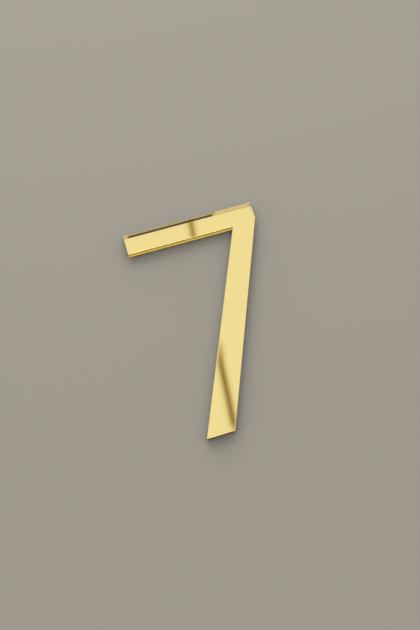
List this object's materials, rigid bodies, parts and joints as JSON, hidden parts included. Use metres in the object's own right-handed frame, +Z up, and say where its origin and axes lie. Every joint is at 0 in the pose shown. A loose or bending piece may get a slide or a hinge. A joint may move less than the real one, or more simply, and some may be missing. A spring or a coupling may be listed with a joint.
{
  "type": "house number",
  "caption": "Flat figure seven laser cut from gold mirror acrylic sheet, with a level bar and a slanting stem, bonded to a door or wall by its plain back to show the address.",
  "frame": {"origin": "on the back face, on the stem's centre line at half the figure's height", "axes": "+Z up the figure, +X to the reader's right, +Y out of the back into the wall; the mirror face looks along -Y"},
  "size_m": [0.0614, 0.003, 0.1],
  "materials": {
    "gold_mirror_acrylic": "gold tinted clear acrylic with a mirror coat and grey paint on its back, gloss faces, laser cut edges"
  },
  "bodies": {
    "root": {"number_seven": "gold_mirror_acrylic"}
  },
  "joints": []
}
